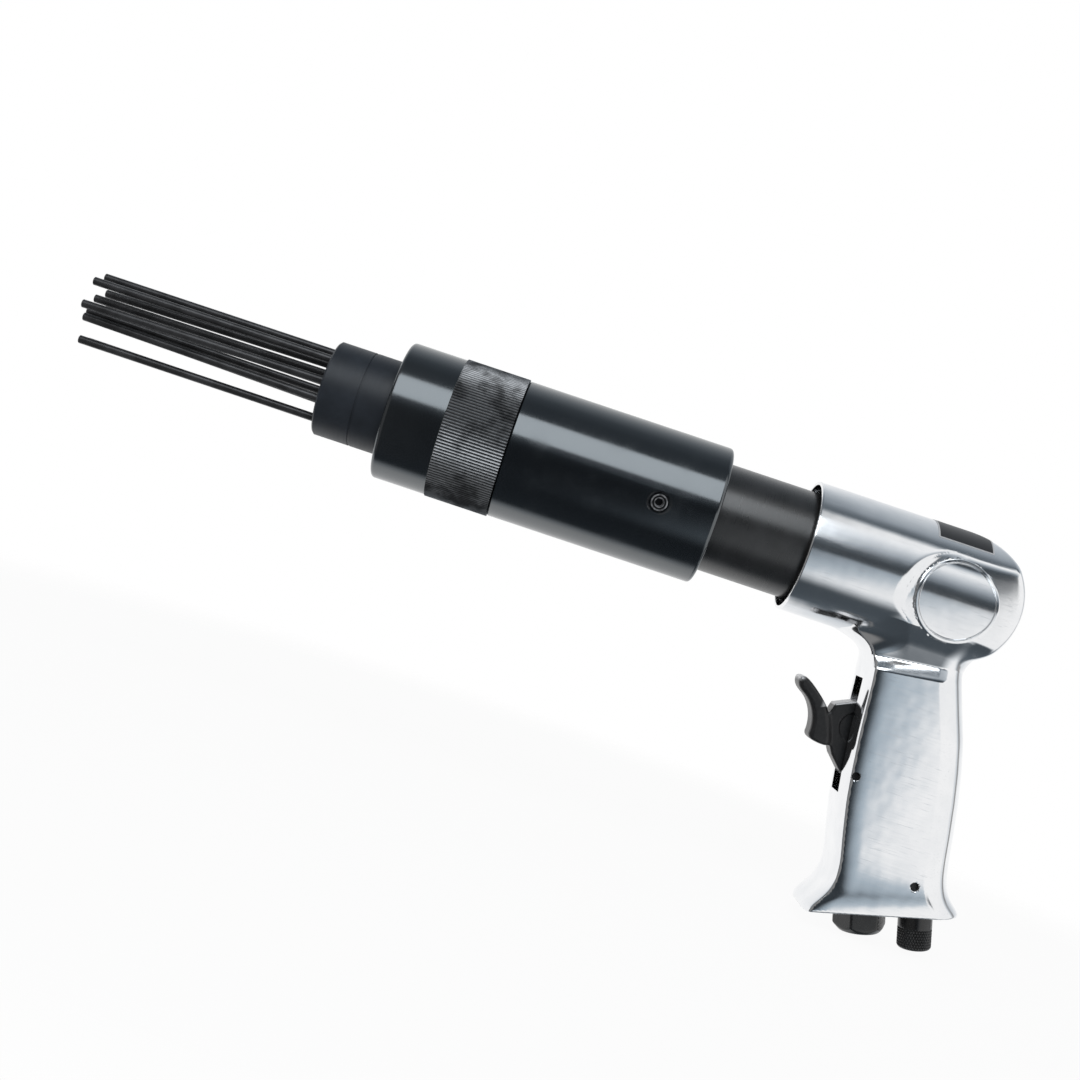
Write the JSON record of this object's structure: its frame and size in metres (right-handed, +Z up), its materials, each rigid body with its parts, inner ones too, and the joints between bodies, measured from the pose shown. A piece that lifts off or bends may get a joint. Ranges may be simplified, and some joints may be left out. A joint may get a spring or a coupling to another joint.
{
  "type": "pneumatic needle scaler",
  "caption": "Pistol-grip air needle scaler: loose steel needles slide in a nose tube ahead of a piston hammer, with a finger trigger, an air inlet and a regulator in the grip's foot.",
  "frame": {"origin": "on the barrel's axis, midway along the plain land of the front cap", "axes": "+X along the barrel towards the needle tips, +Y to the left of a user who aims the tool, +Z up, away from the grip"},
  "size_m": [0.3735, 0.053, 0.1564],
  "materials": {
    "cast_aluminium": "polished casting",
    "black_steel": "black finished, satin",
    "gloss_black_steel": "glossy blue-black",
    "dark_steel": "blackened",
    "slate_steel": "satin turned",
    "tool_steel": "ground",
    "black_rubber": "matt",
    "spring_steel": "oiled",
    "black_satin": "black satin",
    "brass": "turned",
    "black_oxide": "black oxide, oiled",
    "needle_steel": "drawn, oiled"
  },
  "bodies": {
    "body": {"housing": "cast_aluminium", "cylinder": "black_steel", "barrel_sleeve": "gloss_black_steel", "sleeve_set_screw": "dark_steel", "front_cap": "gloss_black_steel", "nose_tube": "slate_steel", "anvil_buffer": "black_rubber", "return_spring": "spring_steel", "valve_cap": "tool_steel", "valve_case": "tool_steel", "trigger_pin": "dark_steel", "throttle_bush": "brass", "throttle_seal": "black_rubber", "throttle_spring": "spring_steel", "air_inlet": "black_oxide", "inlet_screen": "brass", "regulator_pin": "dark_steel"},
    "regulator": {"regulator": "black_oxide", "regulator_seal": "black_rubber"},
    "trigger": {"trigger": "black_satin"},
    "throttle_stem": {"throttle_stem": "tool_steel"},
    "piston": {"piston": "tool_steel"},
    "valve_disc": {"valve_disc": "tool_steel"},
    "anvil": {"anvil": "tool_steel"},
    "needle_holder": {"needle_holder": "tool_steel"},
    "needle_01": {"needle_01": "needle_steel"},
    "needle_02": {"needle_02": "needle_steel"},
    "needle_03": {"needle_03": "needle_steel"},
    "needle_04": {"needle_04": "needle_steel"},
    "needle_05": {"needle_05": "needle_steel"},
    "needle_06": {"needle_06": "needle_steel"},
    "needle_07": {"needle_07": "needle_steel"},
    "needle_08": {"needle_08": "needle_steel"},
    "needle_09": {"needle_09": "needle_steel"},
    "needle_10": {"needle_10": "needle_steel"},
    "needle_11": {"needle_11": "needle_steel"},
    "needle_12": {"needle_12": "needle_steel"}
  },
  "joints": [
    {"name": "trigger_pivot", "type": "hinge", "parent": "body", "child": "trigger", "pos_m": [-0.19133, 0, -0.07321], "axis": [0, -1, 0], "range_deg": [0, 10], "stiffness_Nm_per_rad": 0.6, "springref_deg": -14.32},
    {"name": "throttle_slide", "type": "slide", "parent": "body", "child": "throttle_stem", "axis": [-0.9659, 0, 0.2588], "range_m": [0, 0.0038], "deforming": ["throttle_spring"]},
    {"name": "regulator_turn", "type": "hinge", "parent": "body", "child": "regulator", "pos_m": [-0.23156, 0, -0.11388], "axis": [0.2588, 0, 0.9659], "continuous": true},
    {"name": "piston_slide", "type": "slide", "parent": "body", "child": "piston", "axis": [1, 0, 0], "range_m": [0, 0.051]},
    {"name": "valve_slide", "type": "slide", "parent": "body", "child": "valve_disc", "axis": [1, 0, 0], "range_m": [0, 0.0008]},
    {"name": "anvil_slide", "type": "slide", "parent": "body", "child": "anvil", "axis": [1, 0, 0], "range_m": [0, 0.006], "stiffness_N_per_m": 2500, "springref_m": -0.012, "deforming": ["return_spring"]},
    {"name": "holder_slide", "type": "slide", "parent": "body", "child": "needle_holder", "axis": [1, 0, 0], "range_m": [0, 0.006]},
    {"name": "needle_01_slide", "type": "slide", "parent": "needle_holder", "child": "needle_01", "axis": [1, 0.0017, -0.0017], "range_m": [-0.009, 0.001]},
    {"name": "needle_02_slide", "type": "slide", "parent": "needle_holder", "child": "needle_02", "axis": [1, -0.0017, -0.0017], "range_m": [-0.00975, 0.00025]},
    {"name": "needle_03_slide", "type": "slide", "parent": "needle_holder", "child": "needle_03", "axis": [0.9999, -0.0035, -0.0113], "range_m": [-0.0097, 0.0003]},
    {"name": "needle_04_slide", "type": "slide", "parent": "needle_holder", "child": "needle_04", "axis": [0.9997, -0.0192, 0.0157], "range_m": [-0.0093, 0.0007]},
    {"name": "needle_05_slide", "type": "slide", "parent": "needle_holder", "child": "needle_05", "axis": [1, 0.0026, 0.0009], "range_m": [-0.0093, 0.0007]},
    {"name": "needle_06_slide", "type": "slide", "parent": "needle_holder", "child": "needle_06", "axis": [1, -0.0035, 0.0035], "range_m": [-0.0095, 0.0005]},
    {"name": "needle_07_slide", "type": "slide", "parent": "needle_holder", "child": "needle_07", "axis": [0.9997, 0.014, 0.0209], "range_m": [-0.0092, 0.0008]},
    {"name": "needle_08_slide", "type": "slide", "parent": "needle_holder", "child": "needle_08", "axis": [1, 0.0052, 0.0017], "range_m": [-0.0094, 0.0006]},
    {"name": "needle_09_slide", "type": "slide", "parent": "needle_holder", "child": "needle_09", "axis": [0.9999, 0.0035, -0.0131], "range_m": [-0.0096, 0.0004]},
    {"name": "needle_10_slide", "type": "slide", "parent": "needle_holder", "child": "needle_10", "axis": [1, 0.0052, -0.0061], "range_m": [-0.01, 0]},
    {"name": "needle_11_slide", "type": "slide", "parent": "needle_holder", "child": "needle_11", "axis": [1, -0.0052, 0.0052], "range_m": [-0.0091, 0.0009]},
    {"name": "needle_12_slide", "type": "slide", "parent": "needle_holder", "child": "needle_12", "axis": [1, 0.0035, 0.0079], "range_m": [-0.0097, 0.0003]}
  ],
  "couplings": [
    {"joint": "throttle_slide", "follows": "trigger_pivot", "m_per_rad": 0.0215},
    {"joint": "holder_slide", "follows": "anvil_slide", "ratio": 1}
  ]
}
